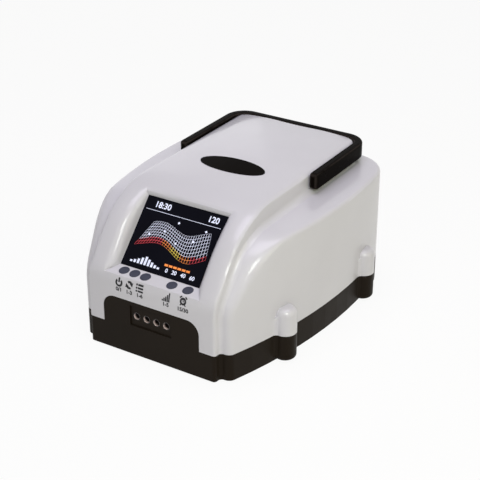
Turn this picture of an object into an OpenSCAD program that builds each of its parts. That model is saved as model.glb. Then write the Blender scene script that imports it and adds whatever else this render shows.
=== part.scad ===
/* [Case] */
// Depth from the nose face to the rear wall
case_d = 302; // [290:1:315]
// Width across the side walls where they are fullest
case_w = 239.6; // [232:1:250]
// Radius of the bowed side walls in plan
bow_r = 560; // [450:10:800]
// Distance from the nose face to the fullest place of the side walls
fullest_y = 195; // [180:1:210]
// Radius of the rear corners in plan
rear_r = 44; // [40:1:60]
// Height of the seam between the base and the upper housing
seam_z = 29.8; // [26:0.2:34]
// Thickness of the moulded walls
wall = 3; // [2.5:0.1:3.5]

/* [Shoulders] */
// Height of the flat shoulders
shoulder_z = 134.7; // [130:0.1:138]
// How far the shoulders stand back from the nose face
setback = 9.3; // [8:0.1:11]
// Height where the front line and the slope of the shoulders would meet
shoulder_knee_z = 76; // [72:0.5:80]
// Radius of the bend from the front line to the slope
knee_r = 30; // [24:1:34]
// Radius of the bend from the slope to the flat shoulder
shoulder_brow_r = 60; // [50:1:66]
// Radius of the front corners in plan, at the bottom
corner_r = 8; // [6:0.5:10]
// Radius of the front corners in plan, at the top of the slope
crest_r = 24; // [20:1:36]
// Radius of the rounding between the shoulders and the walls
edge_r = 4; // [3:0.5:6]

/* [Hood] */
// Width of the deck between the handle arms
deck_w = 151.6; // [148:0.2:154]
// Height of the deck along its middle
deck_z = 158.4; // [155:0.2:162]
// How much lower the deck is at its side edges
crown = 2.8; // [2:0.1:3.5]
// Distance from the rear edge of the deck to the rear wall
deck_back = 12.5; // [11:0.5:18]
// Radius of the rear corners of the deck in plan
deck_corner_r = 14; // [10:1:18]
// Slope of the hood and the shoulders, in degrees from level
slope = 54.5; // [52:0.5:57]
// Height where the nose face and the slope of the hood would meet
hood_knee_z = 82; // [79:0.5:85]
// Radius of the bend from the slope to the deck
brow_r = 100; // [90:1:110]
// Largest radius of the convex edge of the hood
flank_r = 5; // [3:0.5:6]
// Largest radius of the hollow at the foot of the hood
foot_r = 8; // [5:0.5:9]
// How much wider the hood is at the nose than at the deck, on each side
nose_flare = 1.2; // [0:0.1:2]

/* [Screen] */
// Width of the display window
window_w = 97.8; // [90:0.2:102]
// Length of the display window along its slant
window_l = 77.4; // [70:0.2:80]
// Slant of the window, in degrees from level
window_slant = 47.1; // [45:0.1:49]
// Distance of the window's lower edge from the nose face
window_y = 18; // [16:0.5:19]
// Height of the window's lower edge
window_z = 89; // [87:0.5:91]
// Half width of the key ledge at its front edge
ledge_half = 57.2; // [55:0.1:59]
// Half width of the recess at its top lip
lip_half = 53.8; // [52:0.1:56]
// Half width where the rolled rim of the recess meets the hood
rim_half = 60; // [58.5:0.5:63]

/* [Window and keys] */
// Clearance round the display window in its seat
window_gap = 0.3; // [0.2:0.05:0.5]
// Thickness of the display window
window_t = 2; // [1.5:0.1:2.5]
// Width of the rim that carries the display window
window_rim = 4.2; // [3:0.2:5]
// Diameter of the keys
key_d = 11; // [9:0.1:11.4]
// Gap between a key and its hole
key_gap = 0.25; // [0.15:0.05:0.4]
// How far a key stands out of the ledge
key_out = 0.6; // [0.3:0.1:1.2]
// Travel of a key
key_travel = 0.8; // [0.4:0.1:0.9]
// Pitch of the three keys on the left
key_pitch = 13.1; // [12.9:0.1:13.3]

/* [Air ports] */
// Pitch of the four air sockets
port_pitch = 12; // [11:0.1:13]
// Height of the air sockets
port_z = 45.4; // [44:0.1:47]
// Bore of an air socket
port_bore = 7; // [6:0.1:7.2]
// Outer diameter of an air socket
port_d = 8.6; // [8.2:0.1:9]
// Half width of the front tab of the base
tab_half = 58; // [54:0.5:60]
// Height of the top of the front tab
tab_z = 61.3; // [59:0.1:63]
// Radius of the top corners of the front tab
tab_r = 14; // [10:0.5:16]
// Gap between the front tab and the upper housing
tab_gap = 0.3; // [0.2:0.05:0.5]
// Depth of the port panel in the tab
panel_sink = 1.5; // [1:0.1:1.8]

/* [Handle] */
// Thickness of the handle section
arm_t = 10; // [9:0.1:11]
// Height of the handle section
arm_h = 17.8; // [16:0.2:19]
// Height of the top of the handle
handle_top = 157.4; // [156:0.1:158]
// How far the arms reach past the pivot
arm_nose = 9.6; // [8:0.1:10.5]
// Radius of the arm ends, seen from the side
arm_end_r = 5; // [4:0.1:6]
// Radius of the long edges of the handle
arm_edge_r = 2.5; // [1.5:0.1:3]
// Gap between the handle and the housing
handle_gap = 0.5; // [0.4:0.05:0.8]
// Distance of the handle pivot from the nose face
pivot_y = 189; // [188:0.5:196]
// Diameter of the handle pins
pin_d = 5; // [4:0.1:6]

/* [Corner columns] */
// Radius of the screw columns
column_r = 12; // [11:0.1:12.5]
// Distance of the front columns from the nose face
column_front_y = 80; // [76:0.5:84]
// Distance of the rear columns from the nose face
column_rear_y = 233.5; // [226:0.5:240]
// How far the axes of the front columns stand out of the wall
column_front_out = 1.7; // [-1:0.1:2]
// How far the axes of the rear columns stand out of the wall
column_rear_out = -0.5; // [-1:0.1:2]
// Height of the tops of the columns
column_top = 58.5; // [54:0.5:64]
// Radius of the rounding round the tops of the columns
column_top_r = 7; // [5:0.1:8]
// Radius of the rounding round the bottoms of the columns
column_foot_r = 4; // [2:0.1:5]
// Radius of the hollow where a column meets the wall
column_root_r = 5; // [3:0.1:6]
// Diameter of the case screws
screw_d = 3.5; // [3:0.1:4]

/* [Badge] */
// Length of the oval badge
badge_l = 77; // [70:0.5:84]
// Width of the oval badge
badge_w = 33.8; // [30:0.2:38]
// How far the badge stands above the deck
badge_out = 0.5; // [0.3:0.1:0.8]

/* [Inside] */
// Travel of the pump armature to each side
armature_stroke = 1.5; // [0.5:0.1:1.8]
// Distance of the pump's middle from the middle plane, to the left
pump_x = -35; // [-40:0.5:-31]
// Distance of the pump's middle from the nose face
pump_y = 200; // [196:0.5:206]
// Height of the pump plate above the base underside
pump_z = 14; // [13:0.5:16]
// Outer diameter of the air hoses
hose_d = 7.4; // [6.8:0.1:8]
// Diameter of the hose barbs
barb_d = 5; // [4.6:0.1:5]
// How far the rubber feet stand out of the base
foot_stand = 1.5; // [1:0.1:2]
// Thickness of the circuit boards
board_t = 1.6; // [1.2:0.2:2]

/* [Hidden] */
$fn = 48;

// Distance from the nose face to the rear edge of the deck.
deck_end = case_d - deck_back;

function lerp(a, b, t) = a + (b - a) * t;
function clamp01(t) = min(1, max(0, t));

// A side profile: up the front line, round the knee, up the slope, round the brow, along the top.
function bend_run(r, turn) = r * tan(turn / 2);
function knee_pt(front, knee_z, a) =
    [front + knee_r * (1 - cos(a)), knee_z - bend_run(knee_r, 90 - slope) + knee_r * sin(a)];
function brow_pt(front, knee_z, top, r, b) =
    let (corner_y = front + (top - knee_z) / tan(slope), end_y = corner_y + bend_run(r, slope))
    [end_y - r * sin(b), top - r * (1 - cos(b))];

// Plan outline of the shoulder body, right half from the front middle to the rear middle.
function wall_cx(o) = case_w / 2 - bow_r;
function plan_half(front, r, o) =
    let (
        big = bow_r - o,
        cx = wall_cx(o),
        fy = front + r,
        fx = cx + sqrt(pow(big - r, 2) - pow(fy - fullest_y, 2)),
        fa = atan2(fy - fullest_y, fx - cx),
        rr = rear_r - o,
        ry = case_d - rear_r,
        rx = cx + sqrt(pow(bow_r - rear_r, 2) - pow(ry - fullest_y, 2)),
        ra = atan2(ry - fullest_y, rx - cx)
    )
    concat(
        [for (i = [0:5]) let (a = lerp(-90, fa, i / 5)) [fx + r * cos(a), fy + r * sin(a)]],
        [for (i = [1:10]) let (a = lerp(fa, ra, i / 11)) [cx + big * cos(a), fullest_y + big * sin(a)]],
        [for (i = [0:8]) let (a = lerp(ra, 90, i / 8)) [rx + rr * cos(a), ry + rr * sin(a)]]
    );
function both(half) = concat(half, [for (i = [len(half) - 1:-1:0]) [-half[i][0], half[i][1]]]);

// Joins closed sections of equal count into one solid.
module loft(sections) {
    n = len(sections[0]);
    m = len(sections);
    points = [for (s = sections) each s];
    sides = [for (k = [0:m - 2], i = [0:n - 1]) let (j = (i + 1) % n)
        each [[k * n + i, (k + 1) * n + i, k * n + j], [k * n + j, (k + 1) * n + i, (k + 1) * n + j]]];
    polyhedron(concat(points), concat(sides, [[for (i = [0:n - 1]) i]], [[for (i = [n - 1:-1:0]) (m - 1) * n + i]]));
}

// The lofts reach a little below the seam, where one cut makes the whole edge level.
skirt_z = seam_z - 2;
// Points of the shoulder profile, each [y, z].
shoulder_line = concat(
    [[setback, skirt_z]],
    [for (i = [0:3]) knee_pt(setback, shoulder_knee_z, (90 - slope) * i / 3)],
    [for (i = [0:8]) brow_pt(setback, shoulder_knee_z, shoulder_z, shoulder_brow_r, slope * pow(1 - i / 8, 1.25))]
);
module shoulder_body() {
    knee_start = shoulder_line[1][1];
    loft([for (p = shoulder_line)
        let (
            rise = clamp01((p[1] - knee_start) / (shoulder_z - knee_start)),
            over = max(0, p[1] - shoulder_z + edge_r),
            inset = edge_r - sqrt(edge_r * edge_r - over * over)
        )
        [for (q = both(plan_half(p[0], lerp(corner_r, crest_r, rise), inset))) [q[0], q[1], p[1]]]
    ]);
}

// The slanted frame of the window.
up_y = cos(window_slant);
up_z = sin(window_slant);
function along(p) = (p[0] - window_y) * up_y + (p[1] - window_z) * up_z;
function on_window(u) = [window_y + u * up_y, window_z + u * up_z];
slope_start = knee_pt(0, hood_knee_z, 90 - slope);
slope_u0 = -along(slope_start) / (cos(slope) * up_y + sin(slope) * up_z);
brow_start = brow_pt(0, hood_knee_z, deck_z, brow_r, slope);
heel = slope_start + slope_u0 * [cos(slope), sin(slope)];
// Angle on the brow that lies square above the window's upper edge.
brow_c = brow_pt(0, hood_knee_z, deck_z, brow_r, 0) - [0, brow_r];
upper_b = acos((window_l - along(brow_c)) / brow_r) - (90 - window_slant);
lip_b = upper_b - 5.5;
ledge_a = 26.3;
ledge_edge = knee_pt(0, hood_knee_z, ledge_a);
// Rows of points from the window's upper edge to the rolled lip of the recess.
roll_rows = 4;

hood_line = concat(
    [[0, skirt_z]],
    [for (i = [0:3]) knee_pt(0, hood_knee_z, ledge_a * i / 3)],
    [slope_start, heel, (heel + brow_start) / 2],
    [for (i = [0:5]) brow_pt(0, hood_knee_z, deck_z, brow_r, lerp(slope, upper_b, i / 5))],
    [for (i = [1:roll_rows - 1]) brow_pt(0, hood_knee_z, deck_z, brow_r, lerp(upper_b, lip_b, i / roll_rows))],
    [for (i = [0:3]) brow_pt(0, hood_knee_z, deck_z, brow_r, lip_b * (1 - i / 3))],
    [[150, deck_z], [176, deck_z], [230, deck_z]]
);
heel_i = 6;
ledge_i = 4;
upper_i = heel_i + 1 + 6;
lip_i = upper_i + roll_rows;
brow_i = lip_i + 3;
last_i = len(hood_line) - 1;
// The rows of the roll count as one step.
function step_of(i) = i <= upper_i ? i : i < lip_i ? upper_i + (i - upper_i) / roll_rows : i - roll_rows + 1;
steps = step_of(brow_i) - heel_i;
function roll_pt(t) =
    let (foot = on_window(window_l), bend = brow_pt(0, hood_knee_z, deck_z, brow_r, lerp(upper_b, lip_b, 0.3)))
    lerp(lerp(foot, bend, t), lerp(bend, hood_line[lip_i], t), t);
// The floor of the recess under each point of the hood line.
function floor_pt(i) =
    i <= ledge_i || i >= lip_i ? hood_line[i]
    : i > upper_i ? roll_pt((i - upper_i) / roll_rows)
    : i < heel_i ? (ledge_edge + [window_y, window_z]) / 2
    : on_window(i == heel_i ? 0 : i == upper_i ? window_l : along(hood_line[i]));
function foot_half(i) =
    i <= ledge_i ? ledge_half : i < heel_i ? (ledge_half + window_w / 2) / 2
    : i <= upper_i ? window_w / 2
    : i < lip_i ? lerp(window_w / 2, lip_half, (i - upper_i) / roll_rows) : lip_half;
// The shoulder profile under each point of the hood line.
function under_pt(i) =
    i == 0 ? [setback, skirt_z]
    : i <= ledge_i + 1 ? knee_pt(setback, shoulder_knee_z, (90 - slope) * (i - 1) / ledge_i)
    : i <= brow_i ? brow_pt(setback, shoulder_knee_z, shoulder_z, shoulder_brow_r,
        slope * (1 - clamp01((step_of(i) - heel_i) / steps)))
    : [hood_line[i][0], shoulder_z];
function crown_at(x, i) = crown * pow(x / (deck_w / 2), 2) * clamp01((step_of(i) - heel_i) / steps);
function deck_rear(x) =
    let (c = deck_w / 2 - deck_corner_r, over = min(deck_corner_r, max(0, x - c)), s = max(0, 1 - pow(x / 40, 2)))
    deck_end - deck_corner_r + sqrt(deck_corner_r * deck_corner_r - over * over) - 3 * s * s;

// Lanes across the hood, each [kind, value].
lanes = concat(
    [for (x = [0, 12, 24, 36]) ["floor", x]],
    [for (i = [0:5]) ["rim", 90 * i / 5]],
    [["top", 0.5]],
    [for (i = [0:3]) ["flank", 30 * i]],
    [for (i = [0:3]) ["foot", 78 * i / 3]],
    [["sunk", 0]]
);
function lane_line(k) =
    let (
        kind = lanes[k][0], v = lanes[k][1],
        body = [for (i = [0:last_i])
            let (
                h = hood_line[i], f = floor_pt(i), s = under_pt(i), d = norm(h - s),
                side = deck_w / 2 + nose_flare * clamp01((brow_i - i) / (brow_i - lip_i)),
                r1 = min(flank_r, 0.35 * d), r2 = min(foot_r, 0.45 * d),
                x = kind == "floor" ? v
                    : kind == "rim" ? lerp(foot_half(i), rim_half, 1 - cos(v))
                    : kind == "top" ? lerp(rim_half, side - r1, v)
                    : kind == "flank" ? side - r1 * (1 - sin(v))
                    : kind == "foot" ? side + r2 * (1 - cos(v)) : side + r2 * (1 - cos(78)) + 0.2,
                w = kind == "flank" ? r1 * (1 - cos(v)) / d
                    : kind == "foot" ? 1 - r2 * (1 - sin(v)) / d : kind == "sunk" ? 1 + 2 / d : 0,
                q = kind == "floor" ? f : kind == "rim" ? lerp(f, h, sin(v)) : lerp(h, s, w)
            )
            [x, q[0], i == 0 ? skirt_z : q[1] - crown_at(min(x, deck_w / 2), i) * (1 - clamp01(w))]
        ],
        end = body[last_i], yr = deck_rear(end[0])
    )
    concat(body, [
        [end[0], yr - 1.2, end[2]],
        [end[0], yr - 0.35, end[2] - 0.35],
        [end[0], yr, end[2] - 1.2],
        [end[0], yr, skirt_z]
    ]);
module hood() {
    right = [for (k = [0:len(lanes) - 1]) lane_line(k)];
    count = len(lanes);
    loft([for (k = [1 - count:count - 1]) [for (p = right[abs(k)]) [k > 0 ? -p[0] : p[0], p[1], p[2]]]]);
}

// Everything is drawn in the case frame, with Y from the nose face and Z from the base underside.
// stand() moves it so that the origin is under the middle, on the surface that the feet rest on.
module stand() { translate([0, -case_d / 2, foot_stand]) children(); }

// ---------- places and sizes that several parts share ----------
white = "#D4D0D8";
black = "#28231F";
gloss = "#15100F";
green = "#1F6B3A";
steel = "#B8BCC0";
ledge_slope = atan2(window_z - ledge_edge[1], window_y - ledge_edge[0]);
key_at = (ledge_edge + [window_y, window_z]) / 2 + 0.06 * ([window_y, window_z] - ledge_edge);
key_x = [-25.5 - key_pitch, -25.5, -25.5 + key_pitch, 19.5, 38.6];
key_flange_d = key_pitch - 0.4;
key_flange_t = 1.1;
key_foot = wall + key_gap + key_flange_t + 1.3;
switch_h = 3.5;
plunger_h = 0.45;
control_top = key_foot + key_travel + 0.05 + plunger_h + switch_h;
control_l = 12;
post_x = 49;
port_x = [for (k = [0:3]) 0.4 + (k - 1.5) * port_pitch];
axis_x = 0.4;
// Each column: distance from the nose face, how far its axis stands out, angle of the wall's outward normal.
column_rows = [for (c = [[column_front_y, column_front_out], [column_rear_y, column_rear_out]])
    [c[0], c[1], asin((c[0] - fullest_y) / bow_r)]];
column_at = [for (c = column_rows) [wall_x(c[0]) + c[1] * cos(c[2]), c[0] + c[1] * sin(c[2])]];
function wall_x(y) = wall_cx(0) + sqrt(bow_r * bow_r - pow(y - fullest_y, 2));
pivot_z = handle_top - arm_h / 2;
arm_in = deck_w / 2 + handle_gap;
arm_out = arm_in + arm_t;
bar_in = deck_end + handle_gap;
bar_out = bar_in + arm_t;
bore_gap = 0.05;
frame_back = window_t + wall + 5;
hood_in = deck_w / 2 - wall;

// Mirrors a part to both sides.
module sides() {
    children();
    mirror([1, 0, 0]) children();
}
// A box between two corners.
module span(a, b) { translate(a) cube(b - a); }
// A cylinder along +Y from a point.
module rod_y(p, d, l) { translate(p) rotate([-90, 0, 0]) cylinder(d = d, h = l); }
// A cylinder along +X from a point.
module rod_x(p, d, l) { translate(p) rotate([0, 90, 0]) cylinder(d = d, h = l); }
// The frame of the key ledge: Z square to the ledge, origin at a key's middle.
module on_ledge(x = 0) { translate([x, key_at[0], key_at[1]]) rotate([ledge_slope, 0, 0]) children(); }
// The frame of the window: X across, Y up its slant, Z out of it.
module on_screen() { translate([0, window_y, window_z]) rotate([window_slant, 0, 0]) children(); }
// A flat plate in the window frame, centred on the window, between two depths.
module screen_plate(w, l, top, bottom) {
    on_screen() translate([-w / 2, (window_l - l) / 2, -bottom]) cube([w, l, bottom - top]);
}

// ---------- outlines ----------
function nose_half() = [for (k = [0:len(lanes) - 1]) let (p = lane_line(k)[0]) [p[0], p[1]]];
module case_outline() {
    polygon(both(plan_half(setback, corner_r, 0)));
    polygon(both(concat(nose_half(), [[deck_w / 2, 2 * setback + wall]])));
}
module cavity_outline() {
    polygon(both(plan_half(setback + wall, corner_r - wall, wall)));
    translate([-hood_in, wall]) square([2 * hood_in, 40]);
}
// The front tab, seen from the front, grown by g.
module tab_outline(g) {
    r = tab_r + g;
    w = tab_half + g;
    h = tab_z + g;
    translate([-w, wall]) square([2 * w, h - r - wall]);
    translate([r - w, wall]) square([2 * (w - r), h - wall]);
    for (s = [-1, 1]) translate([s * (w - r), h - r]) circle(r);
}
module through_front(depth) { rotate([90, 0, 0]) translate([0, 0, -depth]) linear_extrude(depth) children(); }

// ---------- housings ----------
// Half profile of the round end of a column, to be turned round its axis.
module column_end(r) {
    intersection() {
        union() {
            square([column_r - r, r]);
            translate([column_r - r, 0]) circle(r);
        }
        square(column_r);
    }
}
// The hollow roots of a column whose axis stands out of the wall by out, in the frame of its place on the wall.
module column_roots(out) {
    f = column_root_r;
    mid = f - 0.3;
    far = sqrt(pow(column_r + f, 2) - pow(mid - out, 2));
    turn = atan2(far, mid - out);
    bend = [for (t = [0.8, 0.5, 0.2]) let (a = 180 + t * turn) [mid + f * cos(a), far + f * sin(a)]];
    half = concat([[out + (column_r - 0.6) * cos(turn), (column_r - 0.6) * sin(turn)]], bend, [[-wall / 2, far + 3]]);
    polygon(concat(half, [for (i = [4:-1:0]) [half[i][0], -half[i][1]]]));
}
module on_wall() {
    sides() for (c = column_rows) translate([wall_x(c[0]), c[0], 0]) rotate([0, 0, c[2]]) {
        $out = c[1];
        children();
    }
}
// Section of a column with its roots, in the frame of its place on the wall.
module column_section(out) {
    translate([out, 0]) circle(column_r);
    column_roots(out);
}
module base_columns() {
    on_wall() {
        translate([$out, 0, column_foot_r]) mirror([0, 0, 1]) rotate_extrude() column_end(column_foot_r);
        translate([0, 0, column_foot_r]) linear_extrude(seam_z + 1 - column_foot_r) column_section($out);
    }
}
module upper_columns() {
    l = column_top - column_top_r - seam_z + 1;
    on_wall() {
        translate([$out, 0, seam_z - 1 + l]) rotate_extrude() column_end(column_top_r);
        translate([0, 0, seam_z - 1]) intersection() {
            linear_extrude(l) column_section($out);
            translate([$out, 0, -1]) cylinder(h = l + 1, r1 = column_r + l + 1, r2 = column_r + 0.1);
        }
    }
}
slot_count = 9;
foot_at = [[72, 38], [88, 262]];
board_at = [[52, 119], [99, 119], [52, 221], [99, 221]];
mount_at = [for (x = [-46, 46], y = [-30, 30]) [pump_x + x, pump_y + y]];
inlet_x = 45;
inlet_z = 16;
valve_z0 = port_z - 23.4;
module lower_case() {
    color(black) stand()
    difference() {
        union() {
            difference() {
                union() {
                    difference() {
                        linear_extrude(seam_z + 2) case_outline();
                        translate([0, 0, wall]) linear_extrude(seam_z) cavity_outline();
                    }
                    base_columns();
                }
                span([-150, -20, seam_z], [150, case_d + 20, seam_z + 5]);
            }
            through_front(wall) tab_outline(0);
            for (x = [-18, 18]) span([x - 2, 58, wall / 2], [x + 2, 72, valve_z0]);
            for (p = mount_at) translate([p[0], p[1], wall / 2]) cylinder(d = 16, h = 6 - wall / 2);
            for (p = board_at) translate([p[0], p[1], wall / 2]) cylinder(d = 7, h = 12 - wall / 2);
            span([inlet_x - 16, case_d - wall - 3, wall / 2], [inlet_x + 16, case_d - wall / 2, seam_z]);
        }
        translate([0, -1, 0]) through_front(panel_sink + 1) translate([-25, 34]) square([50, 23]);
        for (x = port_x) rod_y([x, -1, port_z], port_d + 2 * bore_gap, wall + 2);
        sides() for (p = column_at) translate([p[0], p[1], -1]) {
            cylinder(d = 2 * screw_d + 1, h = 21);
            cylinder(d = screw_d + 0.8, h = seam_z + 2);
        }
        sides() for (p = foot_at) translate([p[0], p[1], -1]) cylinder(d = 16.2, h = 2.5);
        for (k = [0:slot_count - 1]) translate([-32 + 8 * k, 120, -1]) cube([3, 30, wall + 2]);
        span([inlet_x - 12.2, case_d - 1.5, inlet_z - 8.2], [inlet_x + 12.2, case_d + 1, inlet_z + 8.2]);
        span([inlet_x - 9.5, case_d - 9, inlet_z - 5.5], [inlet_x + 9.5, case_d + 1, inlet_z + 5.5]);
    }
}

// Room inside the hood: under the ledge, behind the display and under the deck.
deck_under = deck_z - crown - wall;
function under_window(u) = on_window(u) - (window_t + wall) * [-up_z, up_y];
function under_ledge(p) = p - wall * [-sin(ledge_slope), cos(ledge_slope)];
function ledge_pt(d) = ledge_edge + d * [cos(ledge_slope), sin(ledge_slope)];
room_line = [
    [wall, seam_z - 6],
    [wall, hood_knee_z - 12],
    under_ledge(ledge_pt(1.2)),
    under_ledge(ledge_pt(norm([window_y, window_z] - ledge_edge) + 1.2)),
    under_window(1),
    under_window(window_l + 1.5),
    [window_y + window_l * up_y + wall + 6, deck_under - 4.5],
    [window_y + window_l * up_y + wall + 24, deck_under],
    [deck_end - 3 - wall, deck_under],
    [deck_end - 3 - wall, seam_z - 6]
];
module upper_case() {
    color(white) stand()
    difference() {
        union() {
            difference() {
                resize([0, 0, 0])
                    difference() {
                        union() {
                            difference() {
                                shoulder_body();
                                span([-rim_half, 0, 0], [rim_half, 100, deck_z]);
                            }
                            hood();
                        }
                        sides() {
                            span([deck_w / 2, pivot_y - arm_nose - 1.5, pivot_z - arm_h / 2 - 1], [deck_w, bar_in, deck_z]);
                            rod_x([deck_w / 2, pivot_y, pivot_z], 2 * arm_swing_r + 1.4, arm_t + 4);
                        }
                    }
                intersection() {
                    translate([0, 0, seam_z - 5]) linear_extrude(shoulder_z) cavity_outline();
                    translate([-case_w / 2, 0, 0]) rotate([90, 0, 90]) linear_extrude(case_w)
                        polygon(concat([[setback + wall, 0]],
                            [for (p = [for (i = [1:len(shoulder_line) - 1]) shoulder_line[i]])
                                p + [1.4 * wall, -1.1 * wall]],
                            [[case_d, shoulder_z - 1.1 * wall], [case_d, 0]]));
                }
                translate([-hood_in, 0, 0]) rotate([90, 0, 90]) linear_extrude(2 * hood_in) polygon(room_line);
            }
            upper_columns();
            sides() rod_x([hood_in - 5, pivot_y, pivot_z], pin_d + 5, 6);
            for (s = [-1, 1]) on_ledge(s * post_x) translate([0, 1, -control_top]) cylinder(d = 6, h = control_top - 1);
        }
        span([-150, -20, 0], [150, case_d + 20, seam_z]);
        translate([0, -1, 0]) through_front(wall + 2) tab_outline(tab_gap);
        screen_plate(window_w - 2 * window_gap, window_l - 2 * window_gap, -1, window_t);
        screen_plate(window_w - 2 * window_rim, window_l - 2 * window_rim, -1, window_t + wall + 3);
        for (x = key_x) on_ledge(x) translate([0, 0, -8]) cylinder(d = key_d + 2 * key_gap, h = 20);
        sides() rod_x([0, pivot_y, pivot_z], pin_d + 2 * bore_gap, deck_w);
        sides() for (p = column_at) translate([p[0], p[1], seam_z - 1]) cylinder(d = screw_d + 2 * bore_gap, h = 23);
        translate([0, badge_y, deck_z - 1]) linear_extrude(5) oval(badge_l + 0.4, badge_w + 0.4);
        for (k = [0:slot_count - 1]) span([-33.5 + 8 * k, case_d - 6, 60], [-30.5 + 8 * k, case_d + 1, 90]);
    }
}
module rubber_feet() {
    color("#202020") stand()
    sides() for (p = foot_at) translate([p[0], p[1], -foot_stand]) cylinder(d = 16, h = foot_stand + 1.5);
}
module case_screws() {
    color(steel) stand()
    sides() for (p = column_at) translate([p[0], p[1], 0]) {
        translate([0, 0, 17.4]) cylinder(d = 2 * screw_d, h = 2.6);
        translate([0, 0, 18]) cylinder(d = screw_d, h = 31);
    }
}

// ---------- badge ----------
badge_y = 153;
function ellipse_pts(l, w) = [for (i = [0:71]) [l / 2 * cos(5 * i), w / 2 * sin(5 * i)]];
module oval(l, w) { polygon(ellipse_pts(l, w)); }
module badge() {
    crown_r = (pow(deck_w / 2, 2) + crown * crown) / (2 * crown);
    color(gloss) stand()
    intersection() {
        translate([0, badge_y, deck_z - 1]) linear_extrude(4) oval(badge_l, badge_w);
        rod_y([0, badge_y - badge_w, deck_z + badge_out - crown_r], 2 * crown_r, 2 * badge_w, $fn = 720);
    }
}

// ---------- display ----------
module display_window() {
    g = 4 * window_gap;
    color("#10101A") stand() screen_plate(window_w - g, window_l - g, 0, window_t);
}
lcd_w = window_w - 2 * window_rim - 1;
lcd_l = window_l - 2 * window_rim - 1;
module display_module() {
    color("#303848") stand() screen_plate(lcd_w, lcd_l, window_t + 0.2, frame_back - 2.2);
}
module display_frame() {
    color("#3A3A3A") stand()
    difference() {
        screen_plate(window_w, window_l - 2.4, window_t + wall, frame_back);
        screen_plate(lcd_w + 0.6, lcd_l + 0.6, window_t, frame_back - 2);
        screen_plate(30, 10, 0, frame_back + 5);
    }
}
module display_board() {
    color(green) stand() screen_plate(window_w - 6, window_l - 8, frame_back, frame_back + board_t);
}

// ---------- keys ----------
module control_board() {
    color(green) stand()
    on_ledge() translate([-54, -control_l / 2, -control_top - board_t]) cube([108, control_l, board_t]);
}
module tact_switches() {
    color("#2A2A2A") stand()
    for (x = key_x) on_ledge(x) {
        translate([-3, -3, -control_top]) cube([6, 6, switch_h]);
        translate([0, 0, -control_top + switch_h - 0.5]) cylinder(d = 3.4, h = plunger_h + 0.5);
    }
}
module buzzer() {
    color("#1A1A1A") stand() on_ledge(4) translate([0, 0, -control_top - board_t - 4]) cylinder(d = 9, h = 4);
}
module key(i) {
    color("#4A4E63") stand() on_ledge(key_x[i]) {
        intersection() {
            translate([0, 0, -wall - key_gap - 0.5]) cylinder(d = key_d, h = wall + key_gap + 0.5 + key_out);
            translate([0, 0, key_out - 45]) sphere(45);
        }
        translate([0, 0, -wall - key_gap - key_flange_t]) cylinder(d = key_flange_d, h = key_flange_t);
        translate([0, 0, -key_foot]) cylinder(d = 4, h = 2);
    }
}
module power_button() { key(0); }
module cycle_button() { key(1); }
module mode_button() { key(2); }
module strength_button() { key(3); }
module timer_button() { key(4); }

// ---------- handle ----------
// Largest distance of an arm's end from its pivot.
arm_swing_r = arm_end_r + norm([arm_nose - arm_end_r, arm_h / 2 - arm_end_r]);
corner_in = deck_corner_r + handle_gap;
module round_box(w, h, r) {
    square([w, h - 2 * r], center = true);
    square([w - 2 * r, h], center = true);
    for (x = [r - w / 2, w / 2 - r], y = [r - h / 2, h / 2 - r]) translate([x, y]) circle(r, $fn = 24);
}
module handle_arm() {
    l = bar_in - corner_in - pivot_y + arm_nose;
    start = pivot_y - arm_nose;
    x = arm_in + arm_t / 2;
    intersection() {
        translate([x, start, pivot_z]) rotate([-90, 0, 0]) linear_extrude(l) round_box(arm_t, arm_h, arm_edge_r);
        translate([arm_in - 1, start + l, pivot_z]) rotate([90, 0, 90]) linear_extrude(arm_t + 2)
            round_box(2 * l, arm_h + 0.02, arm_end_r);
        translate([x, start + l, pivot_z - arm_h]) linear_extrude(2 * arm_h) round_box(arm_t + 0.02, 2 * l, arm_edge_r);
    }
}
module handle() {
    color(gloss) stand()
    difference() {
        union() {
            sides() {
                handle_arm();
                translate([arm_in - corner_in, bar_in - corner_in, pivot_z]) rotate_extrude(angle = 90)
                    translate([corner_in + arm_t / 2, 0]) round_box(arm_t, arm_h, arm_edge_r);
            }
            translate([corner_in - arm_in, bar_in + arm_t / 2, pivot_z]) rotate([90, 0, 90])
                linear_extrude(2 * (arm_in - corner_in)) round_box(arm_t, arm_h, arm_edge_r);
        }
        sides() rod_x([arm_in - 1, pivot_y, pivot_z], pin_d + 2 * bore_gap, arm_t - 1);
    }
}
module pin() { rod_x([hood_in - 7.5, pivot_y, pivot_z], pin_d, arm_out - 2.5 - hood_in + 7.5); }
module handle_pin_right() { color(steel) stand() pin(); }
module handle_pin_left() { color(steel) stand() mirror([1, 0, 0]) pin(); }
module pin_clips() {
    color(steel) stand() sides() difference() {
        rod_x([hood_in - 6.2, pivot_y, pivot_z], pin_d + 2.4, 1);
        rod_x([hood_in - 8, pivot_y, pivot_z], pin_d + 2 * bore_gap, 4);
    }
}

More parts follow.
